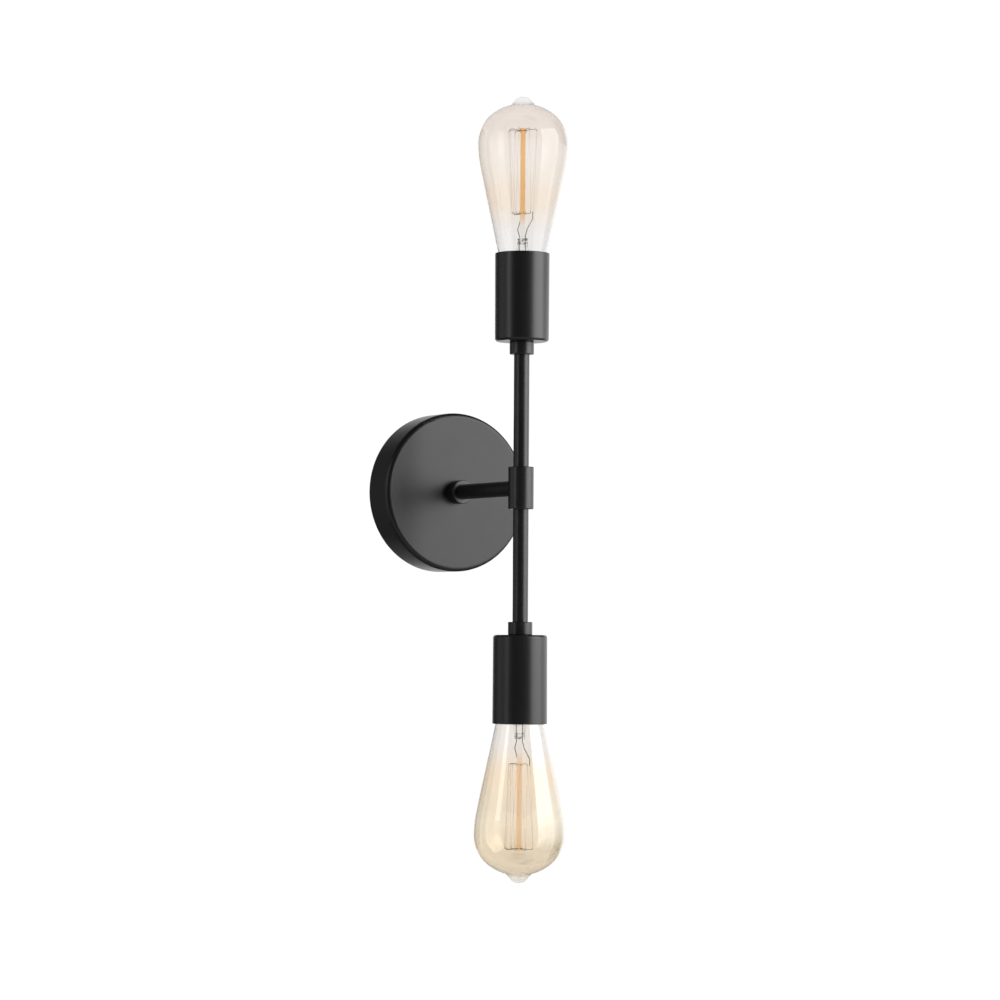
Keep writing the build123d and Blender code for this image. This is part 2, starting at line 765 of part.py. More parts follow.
for end, place in ends.items():
    bulb_place = place * Pos(0, 0, bulb_seat) * Rot(0, 0, bulb_turns[end])
    for name, piece in column_pieces.items():
        nodes[f"{end}_{name}"] = placed(place, piece)
    for name, piece in bulb_pieces.items():
        nodes[f"{end}_{name}"] = placed(bulb_place, piece)
    up = 1 if end == "upper" else -1
    nodes[f"{end}_live_wire"] = lamp_wire(1, up)
    nodes[f"{end}_neutral_wire"] = lamp_wire(-1, up)

os.makedirs("parts", exist_ok=True)
for name, piece in nodes.items():
    shape = Compound(children=piece) if isinstance(piece, list) else piece
    export_step(shape, f"parts/{name}.step")
print(len(nodes), "nodes written")
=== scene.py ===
from math import asin, atan2, cos, hypot, pi, radians, sin, sqrt, tan
import bpy
from mathutils import Matrix, Vector


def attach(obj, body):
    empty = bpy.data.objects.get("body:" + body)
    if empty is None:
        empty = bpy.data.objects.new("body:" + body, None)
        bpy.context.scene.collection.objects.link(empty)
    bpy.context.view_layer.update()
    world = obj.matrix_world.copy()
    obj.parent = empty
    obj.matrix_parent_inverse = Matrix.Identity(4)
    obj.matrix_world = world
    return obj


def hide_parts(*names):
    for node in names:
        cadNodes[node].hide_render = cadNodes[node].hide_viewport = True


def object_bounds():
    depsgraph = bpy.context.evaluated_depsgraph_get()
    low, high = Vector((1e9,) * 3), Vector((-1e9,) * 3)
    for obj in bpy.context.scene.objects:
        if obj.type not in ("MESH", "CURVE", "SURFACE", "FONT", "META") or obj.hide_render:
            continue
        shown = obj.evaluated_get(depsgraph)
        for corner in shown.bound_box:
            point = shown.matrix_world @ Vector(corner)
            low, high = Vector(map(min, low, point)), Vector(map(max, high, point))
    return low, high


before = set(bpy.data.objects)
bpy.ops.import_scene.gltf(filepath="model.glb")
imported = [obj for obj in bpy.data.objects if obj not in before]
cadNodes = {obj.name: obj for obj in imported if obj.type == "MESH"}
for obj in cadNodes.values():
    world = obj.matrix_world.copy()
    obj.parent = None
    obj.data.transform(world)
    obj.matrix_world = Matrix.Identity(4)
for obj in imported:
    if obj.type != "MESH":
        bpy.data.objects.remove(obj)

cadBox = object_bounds()
columnY = -0.119  # axis of the rods, cups and bulbs
print("frame loaded:", len(cadNodes), "CAD nodes")

# Camera, fitted to the photograph's outline: it aims at the wall plate and is then panned
photoCamera = {
    "azimuth": -28.48, "elevation": -2.31, "distance": 2.2677, "pan": 1.118, "tilt": -0.112, "roll": 0.393,
    "lens": 112.07, "sensor": 36, "farthest": 50,
}


def aimCamera(view):
    a, e = radians(view["azimuth"]), radians(view["elevation"])
    back = Vector((sin(a) * cos(e), -cos(a) * cos(e), sin(e)))
    right = (-back).cross(Vector((0, 0, 1))).normalized()
    up = right.cross(-back)
    pan = Matrix.Rotation(-radians(view["pan"]), 3, "Y")
    tilt = Matrix.Rotation(radians(view["tilt"]), 3, "X")
    roll = Matrix.Rotation(radians(view["roll"]), 3, "Z")
    turn = Matrix((right, up, back)).transposed() @ pan @ tilt @ roll
    bpy.ops.object.camera_add(location=back * view["distance"], rotation=turn.to_euler())
    camera = bpy.context.object
    camera.name = "photoCamera"
    camera.data.lens = view["lens"]
    camera.data.sensor_width = view["sensor"]
    camera.data.clip_end = view["farthest"]
    bpy.context.scene.camera = camera
    return Vector((back.x, back.y, 0)).normalized()


towardsCamera = aimCamera(photoCamera)
print("camera placed")

# Studio: pale floor far below, a white light behind and softboxes left and right
studio = {
    "floorDrop": 1.6, "floorSize": 18.0, "floorColor": (0.82, 0.81, 0.80), "floorRoughness": 0.7,
    "floorGlow": (0.80, 0.99), "floorFade": (4.0, 9.0),  # near and far, so that it runs out into white
    "bounceAhead": 2.2, "bounceLift": 0.01, "bounceSize": (5.0, 4.0), "bounceGlow": 0.3,  # off the floor
    "paleWorld": 1.02, "dimWorld": 0.035,  # seen straight or through glass, and seen in reflections
    "middle": (0, -0.1, 0),  # the softboxes stand round this point
    "glossyBounces": 12, "allBounces": 24,  # light caught in the bulbs' walls finds its way out
}
# Angle right of the camera, height of its middle, distance, width, height, radiance at its foot and top
softboxes = {
    "rightHigh": (72.5, 0.55, 1.25, 1.19, 1.00, 3.2, 3.2),
    "rightLow": (72.5, -0.05, 1.25, 1.19, 0.20, 2.2, 3.0),
    "rightFoot": (72.5, -0.70, 1.25, 1.19, 1.10, 0.0, 2.2),
    "rightFar": (118, 0.19, 2.00, 1.55, 0.58, 1.1, 1.1),
    "rightFarFoot": (118, -0.60, 2.00, 1.55, 1.00, 0.0, 1.1),
    "leftHigh": (-58.5, 0.50, 1.50, 0.36, 0.90, 1.7, 1.7),
    "leftMiddle": (-58.5, -0.10, 1.50, 0.36, 0.30, 0.55, 0.85),
    "leftLow": (-58.5, -0.55, 1.50, 0.36, 0.60, 0.9, 1.0),
    "leftFill": (-94, 0.10, 2.00, 1.25, 2.00, 0.34, 0.34),
    "leftBack": (-136, 0.10, 2.20, 1.40, 2.00, 0.08, 0.08),
    "back": (172, 0.075, 2.55, 3.30, 2.35, 1.06, 1.06),
}


def deselect():
    if bpy.context.object and bpy.context.object.mode != "OBJECT":
        bpy.ops.object.mode_set(mode="OBJECT")
    bpy.ops.object.select_all(action="DESELECT")


def newFinish(name):
    finish = bpy.data.materials.new(name)
    finish.use_nodes = True
    return finish, finish.node_tree, finish.node_tree.nodes["Principled BSDF"]


def mapTo(tree, source, fromLow, fromHigh, low, high, target=None):
    span = tree.nodes.new("ShaderNodeMapRange")
    span.inputs["From Min"].default_value = fromLow
    span.inputs["From Max"].default_value = fromHigh
    span.inputs["To Min"].default_value = low
    span.inputs["To Max"].default_value = high
    tree.links.new(source, span.inputs["Value"])
    if target:
        tree.links.new(span.outputs["Result"], target)
    return span.outputs["Result"]


def addFloor(level):
    paint, tree, shade = newFinish("floorPaint")
    shade.inputs["Base Color"].default_value = (*studio["floorColor"], 1)
    shade.inputs["Roughness"].default_value = studio["floorRoughness"]
    shade.inputs["Emission Color"].default_value = (1, 1, 1, 1)
    spot = tree.nodes.new("ShaderNodeTexCoord")
    far = tree.nodes.new("ShaderNodeVectorMath")
    far.operation = "LENGTH"
    tree.links.new(spot.outputs["Object"], far.inputs[0])
    strength = shade.inputs["Emission Strength"]
    mapTo(tree, far.outputs["Value"], *studio["floorFade"], *studio["floorGlow"], strength)
    deselect()
    bpy.ops.mesh.primitive_plane_add(size=studio["floorSize"], location=(0, 0, level))
    floor = bpy.context.object
    floor.name = "paleFloor"
    floor.visible_glossy = floor.visible_diffuse = False  # its bounce is a light of its own
    floor.data.materials.append(paint)


def addLight(name, place, facing, size, foot, top):
    deselect()
    turn = facing.to_track_quat("Z", "Y").to_euler()
    bpy.ops.mesh.primitive_plane_add(size=1, location=place, rotation=turn)
    light = bpy.context.object
    light.name = name
    light.scale = (*size, 1)
    light.visible_camera = False

    # Shines from its front, seen in reflections and not straight through the bulbs
    glow, tree, shade = newFinish(name + "Glow")
    light.data.materials.append(glow)
    path = tree.nodes.new("ShaderNodeLightPath")
    side = tree.nodes.new("ShaderNodeNewGeometry")
    mirrored = tree.nodes.new("ShaderNodeMath")
    mirrored.operation = "SUBTRACT"
    tree.links.new(path.outputs["Glossy Depth"], mirrored.inputs[0])
    tree.links.new(path.outputs["Is Transmission Ray"], mirrored.inputs[1])
    shown = tree.nodes.new("ShaderNodeMath")
    shown.use_clamp = True
    shown.inputs[1].default_value = 1
    tree.links.new(mirrored.outputs["Value"], shown.inputs[0])
    front = tree.nodes.new("ShaderNodeMath")
    front.operation = "SUBTRACT"
    front.use_clamp = True
    tree.links.new(shown.outputs["Value"], front.inputs[0])
    tree.links.new(side.outputs["Backfacing"], front.inputs[1])
    tree.links.new(front.outputs["Value"], shade.inputs["Alpha"])
    shade.inputs["Base Color"].default_value = (0, 0, 0, 1)
    shade.inputs["Specular IOR Level"].default_value = 0
    shade.inputs["Emission Color"].default_value = (1, 1, 1, 1)
    if foot == top:
        shade.inputs["Emission Strength"].default_value = top
    else:  # the plane is 1 high before it is scaled
        spot = tree.nodes.new("ShaderNodeTexCoord")
        parts = tree.nodes.new("ShaderNodeSeparateXYZ")
        tree.links.new(spot.outputs["Object"], parts.inputs["Vector"])
        mapTo(tree, parts.outputs["Y"], -0.5, 0.5, foot, top, shade.inputs["Emission Strength"])


def lightFloor():
    level = cadBox[0].z - studio["floorDrop"]
    addFloor(level)
    place = towardsCamera * studio["bounceAhead"] + Vector((0, 0, level + studio["bounceLift"]))
    glow = studio["bounceGlow"]
    addLight("floorBounce", place, Vector((0, 0, 1)), studio["bounceSize"], glow, glow)


def lightWorld():
    world = bpy.data.worlds.new("studioWorld")
    world.use_nodes = True
    tree = world.node_tree
    path = tree.nodes.new("ShaderNodeLightPath")
    seen = tree.nodes.new("ShaderNodeMath")
    seen.operation = "MAXIMUM"
    tree.links.new(path.outputs["Is Camera Ray"], seen.inputs[0])
    tree.links.new(path.outputs["Is Transmission Ray"], seen.inputs[1])
    backdrop = tree.nodes["Background"]
    backdrop.inputs["Color"].default_value = (1, 1, 1, 1)
    dim, pale = studio["dimWorld"], studio["paleWorld"]
    mapTo(tree, seen.outputs["Value"], 0, 1, dim, pale, backdrop.inputs["Strength"])
    bpy.context.scene.world = world


def hangSoftboxes():
    for name, (side, lift, distance, wide, high, foot, top) in softboxes.items():
        a = radians(photoCamera["azimuth"] + side)
        outwards = Vector((sin(a), -cos(a), 0))
        place = Vector(studio["middle"]) + outwards * distance + Vector((0, 0, lift))
        addLight(name, place, -outwards, (wide, high), foot, top)


def buildStudio():
    lightFloor()
    lightWorld()
    hangSoftboxes()
    scene = bpy.context.scene
    scene.view_settings.view_transform = "Standard"
    scene.cycles.glossy_bounces = studio["glossyBounces"]
    scene.cycles.max_bounces = scene.cycles.transmission_bounces = studio["allBounces"]
    print("studio lit")


buildStudio()

# Finishes: each reads Object coordinates, in metres
noiseSpread = (0.3, 0.7)  # most of a noise lies between these
blotchDetail, grainDetail, grainDepth = 3, 2, 0.00003


def objectNoise(tree, scale, detail, stretch=(1, 1, 1)):
    place = tree.nodes.new("ShaderNodeTexCoord")
    lay = tree.nodes.new("ShaderNodeMapping")
    lay.inputs["Scale"].default_value = stretch
    noise = tree.nodes.new("ShaderNodeTexNoise")
    noise.inputs["Scale"].default_value = scale
    noise.inputs["Detail"].default_value = detail
    tree.links.new(place.outputs["Object"], lay.inputs["Vector"])
    tree.links.new(lay.outputs["Vector"], noise.inputs["Vector"])
    return noise.outputs["Fac"]


def mixColors(tree, share, first, second, target=None):
    mix = tree.nodes.new("ShaderNodeMix")
    mix.data_type = "RGBA"
    tree.links.new(share, mix.inputs["Factor"])
    result = mix.outputs[2]  # sockets 6, 7 and 2 are the ones for colours
    for socket, color in ((mix.inputs[6], first), (mix.inputs[7], second)):
        if isinstance(color, tuple):
            socket.default_value = (*color, 1)
        else:
            tree.links.new(color, socket)
    if target:
        tree.links.new(result, target)
    return result


def addRelief(tree, source, strength, depth, shade):
    bump = tree.nodes.new("ShaderNodeBump")
    bump.inputs["Strength"].default_value = strength
    bump.inputs["Distance"].default_value = depth
    tree.links.new(source, bump.inputs["Height"])
    tree.links.new(bump.outputs["Normal"], shade.inputs["Normal"])


def heightOnColumn(tree):  # distance up or down from the arm's level
    place = tree.nodes.new("ShaderNodeTexCoord")
    parts = tree.nodes.new("ShaderNodeSeparateXYZ")
    away = tree.nodes.new("ShaderNodeMath")
    away.operation = "ABSOLUTE"
    tree.links.new(place.outputs["Object"], parts.inputs["Vector"])
    tree.links.new(parts.outputs["Z"], away.inputs[0])
    return away.outputs["Value"]


# Powder coat: satin black with a fine orange peel
coatLook = {
    "dark": (0.0155, 0.0155, 0.0158), "light": (0.0212, 0.0212, 0.0216),
    "cloud": 35, "cloudDetail": 3, "cloudSpread": (0.35, 0.65), "roughness": (0.31, 0.38), "gloss": 0.61,
    "peel": 1300, "peelDetail": 1.5, "peelDepth": 0.00002, "peelStrength": 0.16,
    "sheet": 0.4, "sheetRoughness": 0.33,  # hard skin over the pigment
}
plateLook = {**coatLook, "gloss": 0.45}


def blackCoat(name, look):
    finish, tree, shade = newFinish(name)
    cloud = objectNoise(tree, look["cloud"], look["cloudDetail"])
    peel = objectNoise(tree, look["peel"], look["peelDetail"])
    share = mapTo(tree, cloud, *look["cloudSpread"], 0, 1)
    mixColors(tree, share, look["dark"], look["light"], shade.inputs["Base Color"])
    mapTo(tree, peel, *noiseSpread, *look["roughness"], shade.inputs["Roughness"])
    shade.inputs["Specular IOR Level"].default_value = look["gloss"]
    shade.inputs["Coat Weight"].default_value = look["sheet"]
    shade.inputs["Coat Roughness"].default_value = look["sheetRoughness"]
    addRelief(tree, peel, look["peelStrength"], look["peelDepth"], shade)
    return finish


# Bare and plated metals, plastics and porcelain: two tones in soft blotches, grain in gloss and relief
sleeve = {"blotch": 200, "metal": 0,
          "roughness": (0.38, 0.52), "grain": 1400, "stretch": (1, 1, 1), "relief": 0.10}
looks = {
    "zincSteel": {"dark": (0.44, 0.45, 0.46), "light": (0.62, 0.63, 0.62), "blotch": 160, "metal": 1,
                  "roughness": (0.26, 0.42), "grain": 2200, "stretch": (1, 1, 1), "relief": 0.12},
    "greenScrew": {"dark": (0.02, 0.15, 0.045), "light": (0.035, 0.24, 0.075), "blotch": 300, "metal": 0.7,
                   "roughness": (0.28, 0.42), "grain": 2600, "stretch": (1, 1, 1), "relief": 0.10},
    "tinnedCopper": {"dark": (0.58, 0.56, 0.53), "light": (0.74, 0.73, 0.71), "blotch": 420, "metal": 1,
                     "roughness": (0.22, 0.36), "grain": 1800, "stretch": (1, 1, 1), "relief": 0.12},
    "porcelain": {"dark": (0.80, 0.785, 0.74), "light": (0.88, 0.87, 0.84), "blotch": 90, "metal": 0,
                  "roughness": (0.12, 0.24), "grain": 700, "stretch": (1, 1, 1), "relief": 0.05},
    "bareBrass": {"dark": (0.60, 0.42, 0.16), "light": (0.76, 0.58, 0.28), "blotch": 140, "metal": 1,
                  "roughness": (0.24, 0.40), "grain": 1500, "stretch": (1, 1, 8), "relief": 0.08},
    "springBronze": {"dark": (0.56, 0.32, 0.15), "light": (0.72, 0.46, 0.26), "blotch": 220, "metal": 1,
                     "roughness": (0.26, 0.40), "grain": 1800, "stretch": (6, 1, 1), "relief": 0.08},
    "lampBase": {"dark": (0.62, 0.50, 0.28), "light": (0.78, 0.66, 0.42), "blotch": 120, "metal": 1,
                 "roughness": (0.22, 0.36), "grain": 1600, "stretch": (1, 1, 5), "relief": 0.06},
    "lampInsulator": {"dark": (0.010, 0.010, 0.013), "light": (0.020, 0.019, 0.024), "blotch": 260,
                      "metal": 0, "roughness": (0.06, 0.16),
                      "grain": 900, "stretch": (1, 1, 1), "relief": 0.06},
    "solderFace": {"dark": (0.46, 0.46, 0.45), "light": (0.66, 0.66, 0.64), "blotch": 500, "metal": 1,
                   "roughness": (0.30, 0.50), "grain": 900, "stretch": (1, 1, 1), "relief": 0.30},
    "nickelWire": {"dark": (0.26, 0.24, 0.21), "light": (0.40, 0.37, 0.33), "blotch": 500, "metal": 1,
                   "roughness": (0.28, 0.42), "grain": 2400, "stretch": (1, 1, 1), "relief": 0.05},
    "tungsten": {"dark": (0.88, 0.64, 0.46), "light": (0.98, 0.80, 0.62), "blotch": 900, "metal": 0,
                 "roughness": (0.50, 0.65), "grain": 5000, "stretch": (1, 1, 1), "relief": 0.20},
    "blackSleeve": {**sleeve, "dark": (0.010, 0.010, 0.010), "light": (0.018, 0.018, 0.018)},
    "whiteSleeve": {**sleeve, "dark": (0.70, 0.69, 0.65), "light": (0.80, 0.79, 0.76)},
    "greenSleeve": {**sleeve, "dark": (0.025, 0.20, 0.055), "light": (0.045, 0.28, 0.085)},
    "capNylon": {"dark": (0.70, 0.68, 0.62), "light": (0.79, 0.77, 0.72), "blotch": 150, "metal": 0,
                 "roughness": (0.34, 0.48), "grain": 1100, "stretch": (1, 1, 1), "relief": 0.14},
}


def mottled(name):
    look = looks[name]
    finish, tree, shade = newFinish(name)
    blotch = objectNoise(tree, look["blotch"], blotchDetail)
    grain = objectNoise(tree, look["grain"], grainDetail, look["stretch"])
    share = mapTo(tree, blotch, *noiseSpread, 0, 1)
    mixColors(tree, share, look["dark"], look["light"], shade.inputs["Base Color"])
    mapTo(tree, grain, *noiseSpread, *look["roughness"], shade.inputs["Roughness"])
    shade.inputs["Metallic"].default_value = look["metal"]
    addRelief(tree, grain, look["relief"], grainDepth, shade)
    return finish


# Bulb glass: clear at the neck, deepest amber next to it, paler on the belly and nearly clear at the tip
# Tints are those of one wall seen straight on, at a slant and edge on, and the lower bulb is glossier
glassHeights = {
    "clearTo": 0.177, "amberFrom": 0.198, "deepTo": 0.205, "deepEnd": 0.228,
    "domeFrom": 0.232, "domeTo": 0.252, "tipFrom": 0.2665, "tipTo": 0.2700,
}
glassSlant = {"slanted": (0.02, 0.30), "grazing": (0.35, 0.78)}  # 0 faces the eye, 1 is edge on
glassFlow = {"scale": 55, "detail": 2, "stretch": (1, 1, 0.4), "spread": (0.4, 0.65),
             "shade": (0.975, 0.95, 0.93), "most": 0.12}
bulbLooks = {
    "upper": {"clear": (0.901, 0.890, 0.884), "straight": (0.943, 0.913, 0.880),
              "slanted": (0.889, 0.842, 0.798), "grazing": (0.985, 0.970, 0.940),
              "deep": (0.90, 0.82, 0.73), "deepMost": 0.55,
              "dome": (0.913, 0.864, 0.828), "tip": (0.955, 0.95, 0.94), "ior": 1.34},
    "lower": {"clear": (0.965, 0.942, 0.915), "straight": (0.960, 0.889, 0.778),
              "slanted": (0.972, 0.902, 0.781), "grazing": (0.985, 0.965, 0.920),
              "deep": (1.0, 0.905, 0.785), "deepMost": 0.80,
              "dome": (0.894, 0.813, 0.684), "tip": (0.95, 0.92, 0.89), "ior": 1.70},
}


def amberGlass(name, look):
    finish, tree, shade = newFinish(name)
    height = heightOnColumn(tree)
    facing = tree.nodes.new("ShaderNodeLayerWeight").outputs["Facing"]

    def upTo(low, high, start=0, end=1):
        return mapTo(tree, height, glassHeights[low], glassHeights[high], start, end)

    slanted = mapTo(tree, facing, *glassSlant["slanted"], 0, 1)
    grazing = mapTo(tree, facing, *glassSlant["grazing"], 0, 1)
    tint = mixColors(tree, slanted, look["straight"], look["slanted"])
    tint = mixColors(tree, grazing, tint, look["grazing"])
    tint = mixColors(tree, upTo("deepTo", "deepEnd", look["deepMost"], 0), tint, look["deep"])
    tint = mixColors(tree, upTo("domeFrom", "domeTo"), tint, look["dome"])
    tint = mixColors(tree, upTo("tipFrom", "tipTo"), tint, look["tip"])
    uneven = objectNoise(tree, glassFlow["scale"], glassFlow["detail"], glassFlow["stretch"])
    share = mapTo(tree, uneven, *glassFlow["spread"], 0, glassFlow["most"])
    tint = mixColors(tree, share, tint, glassFlow["shade"])
    mixColors(tree, upTo("clearTo", "amberFrom"), look["clear"], tint, shade.inputs["Base Color"])
    shade.inputs["Roughness"].default_value = 0
    shade.inputs["Transmission Weight"].default_value = 1
    shade.inputs["IOR"].default_value = look["ior"]
    return finish


# Glass stem: clear tube, dark specks where the leads are pressed in, and the arbor tinted amber as a painted
# reflection of the bulb's amber wall
# Painted reflection: the clear glass arbor is given the amber that the bulb's wall throws into it
arborReflectedAmber = {"upper": (0.92, 0.60, 0.28), "lower": (0.93, 0.73, 0.55)}
stemGlass = {
    "clear": (0.95, 0.955, 0.94), "clearTo": 0.183, "amberFrom": 0.193, "ior": 1.08,
    "speck": (0.16, 0.17, 0.12), "speckFrom": 0.1700, "speckTo": 0.1742, "speckScale": 620, "speckDetail": 1,
    "speckSpread": (0.45, 0.60), "milky": (0.45, 0.02),  # roughness at the press and past it
}


def stemFinish(name, amber, stem):
    finish, tree, shade = newFinish(name)
    height = heightOnColumn(tree)
    # Clear glass below, painted amber reflection on the arbor above
    share = mapTo(tree, height, stem["clearTo"], stem["amberFrom"], 0, 1)
    tint = mixColors(tree, share, stem["clear"], amber)
    zone = tree.nodes.new("ShaderNodeMath")  # 1 at the top of the press, 0 elsewhere
    zone.operation = "COMPARE"
    zone.inputs[1].default_value = (stem["speckFrom"] + stem["speckTo"]) / 2
    zone.inputs[2].default_value = (stem["speckTo"] - stem["speckFrom"]) / 2
    tree.links.new(height, zone.inputs[0])
    specks = tree.nodes.new("ShaderNodeMath")
    specks.operation = "MULTIPLY"
    tree.links.new(zone.outputs["Value"], specks.inputs[0])
    speckled = objectNoise(tree, stem["speckScale"], stem["speckDetail"])
    mapTo(tree, speckled, *stem["speckSpread"], 0, 1, specks.inputs[1])
    mixColors(tree, specks.outputs["Value"], tint, stem["speck"], shade.inputs["Base Color"])
    mapTo(tree, height, stem["speckFrom"], stem["speckTo"], *stem["milky"], shade.inputs["Roughness"])
    shade.inputs["Transmission Weight"].default_value = 1
    shade.inputs["IOR"].default_value = stem["ior"]
    return finish


# Lead wires: nickel, with a pale copper skin from the press down
leadLook = {**looks["nickelWire"], "copperDark": (0.80, 0.60, 0.50), "copperLight": (0.90, 0.72, 0.62),
            "copperTo": 0.1725, "nickelFrom": 0.1745}


def leadWire(look):
    finish, tree, shade = newFinish("leadWire")
    blotch = mapTo(tree, objectNoise(tree, look["blotch"], blotchDetail), *noiseSpread, 0, 1)
    above = mapTo(tree, heightOnColumn(tree), look["copperTo"], look["nickelFrom"], 0, 1)
    copper = mixColors(tree, blotch, look["copperDark"], look["copperLight"])
    nickel = mixColors(tree, blotch, look["dark"], look["light"])
    mixColors(tree, above, copper, nickel, shade.inputs["Base Color"])
    tree.links.new(above, shade.inputs["Metallic"])
    grain = objectNoise(tree, look["grain"], grainDetail)
    mapTo(tree, grain, *noiseSpread, *look["roughness"], shade.inputs["Roughness"])
    return finish


slotLooks = {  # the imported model's material slots and the looks they get
    "zinc_steel": "zincSteel", "green_screw": "greenScrew", "tinned_copper": "tinnedCopper",
    "porcelain": "porcelain", "brass": "bareBrass", "bronze": "springBronze", "lamp_base": "lampBase",
    "lamp_insulator": "lampInsulator", "solder": "solderFace", "nickel_wire": "nickelWire",
    "tungsten": "tungsten", "cap_nylon": "capNylon", "black_insulation": "blackSleeve",
    "white_insulation": "whiteSleeve", "green_insulation": "greenSleeve",
}
finishes = {slot: mottled(look) for slot, look in slotLooks.items()}
finishes["black_coat"] = blackCoat("blackCoat", coatLook)
plateCoat = blackCoat("plateCoat", plateLook)
leads = leadWire(leadLook)
bulbGlass = {end: amberGlass(end + "AmberGlass", look) for end, look in bulbLooks.items()}
stemFinishes = {end: stemFinish(end + "StemGlass", amber, stemGlass) for end, amber in arborReflectedAmber.items()}

for name, node in cadNodes.items():
    choice = dict(finishes)
    end = name.split("_")[0]
    if name == "canopy":
        choice["black_coat"] = plateCoat
    if name.endswith("bulb_leads"):
        choice["nickel_wire"] = leads
    if end in bulbGlass:
        choice["amber_glass"] = bulbGlass[end]
        choice["clear_glass"] = stemFinishes[end]
    for slot in node.material_slots:
        known = [key for key in choice if key in slot.material.name]
        slot.material = choice[max(known, key=len)]
print("finishes given to", len(cadNodes), "CAD nodes")

# Turned pieces: an outline of (radius, height) spun round the column's axis
startSize, weldGap = 0.001, 0.000002
smoothAngle = radians(50)
bendCuts = 6


def arcPoints(centre, radius, start, end, count):
    turns = [start + (end - start) * i / count for i in range(count + 1)]
    return [(centre[0] + radius * cos(t), centre[1] + radius * sin(t)) for t in turns]


def roundedRun(corners):  # corners (radius, height, bend length); the bend is a soft curve
    run = []
    for i, (r, h, bend) in enumerate(corners):
        if not bend:
            run.append((r, h))
            continue
        corner = Vector((r, h))
        before = (Vector(corners[i - 1][:2]) - corner).normalized() * bend + corner
        after = (Vector(corners[i + 1][:2]) - corner).normalized() * bend + corner
        for k in range(bendCuts + 1):
            t = k / bendCuts
            run.append(tuple(before * (1 - t) ** 2 + corner * 2 * t * (1 - t) + after * t ** 2))
    return run


def pick(piece):
    deselect()
    piece.select_set(True)
    bpy.context.view_layer.objects.active = piece


def spunPiece(name, outline, steps):
    deselect()
    bpy.ops.mesh.primitive_plane_add(size=startSize)
    piece = bpy.context.object
    piece.name = piece.data.name = name
    bpy.ops.object.mode_set(mode="EDIT")
    bpy.ops.mesh.merge(type="CENTER")  # one point, which draws the outline
    last = Vector((0, 0, 0))
    for i, (radius, height) in enumerate(outline):
        spot = Vector((radius, columnY, height))
        if i == 0:
            bpy.ops.transform.translate(value=spot - last)
        else:
            bpy.ops.mesh.extrude_region_move(TRANSFORM_OT_translate={"value": spot - last})
        last = spot
    bpy.ops.mesh.select_all(action="SELECT")
    bpy.ops.mesh.spin(steps=steps, angle=2 * pi, center=(0, columnY, 0), axis=(0, 0, 1))
    bpy.ops.mesh.select_all(action="SELECT")
    bpy.ops.mesh.remove_doubles(threshold=weldGap)
    bpy.ops.mesh.normals_make_consistent(inside=False)
    bpy.ops.object.mode_set(mode="OBJECT")
    return piece


def applyModifier(piece, kind, **values):
    pick(piece)
    modifier = piece.modifiers.new("shape", kind)
    for key, value in values.items():
        setattr(modifier, key, value)
    bpy.ops.object.modifier_apply(modifier=modifier.name)


def thicken(piece, sheet):  # the outline is the outer face
    applyModifier(piece, "SOLIDIFY", thickness=sheet, offset=-1, use_even_offset=True)


def finishPiece(piece, finish):
    pick(piece)
    bpy.ops.object.shade_smooth_by_angle(angle=smoothAngle)
    piece.data.materials.clear()
    piece.data.materials.append(finish)


def lowerCopy(piece, name):  # the lower end is the upper one turned half round the X axis
    pick(piece)
    bpy.ops.object.duplicate()
    copy = bpy.context.object
    copy.name = copy.data.name = name
    copy.location = (0, 2 * columnY, 0)
    copy.rotation_euler = (pi, 0, 0)
    bpy.ops.object.transform_apply(location=True, rotation=True, scale=True)
    return copy


def rollThread(piece, thread):  # round thread: a wave that climbs one pitch in each turn
    for vertex in piece.data.vertices:
        x, y, z = vertex.co.x, vertex.co.y - columnY, vertex.co.z
        radius = hypot(x, y)
        if radius < thread["fromRadius"]:
            continue
        ends = min((z - thread["low"]) / thread["fade"], (thread["high"] - z) / thread["fade"], 1)
        if ends <= 0:
            continue
        wave = (1 - cos(2 * pi * z / thread["pitch"] - atan2(y, x))) / 2
        shift = 1 - thread["depth"] * wave * ends / radius
        vertex.co.x, vertex.co.y = x * shift, y * shift + columnY


# Glass envelopes, heights from the bulb's end contact
envelope = {
    "seat": 0.1255, "neck": 0.0121, "neckFoot": 0.0170, "neckTop": 0.0270, "neckBend": 0.0006,
    "shoulderLevel": 0.0290, "shoulderBend": 0.0010, "mouth": 0.0172, "mouthLevel": 0.0380,
    "belly": 0.0320, "bellyLevel": 0.1150, "flank": 0.0800, "dome": 0.0280, "domeShoulder": 0.0260,
    "tip": 0.1480, "tipRadius": 0.0080, "tipRoot": 0.0080, "wall": 0.0009, "steps": 128,
    "flankCuts": 28, "shoulderCuts": 28, "capCuts": 20, "rootCuts": 10, "tipCuts": 16,
}


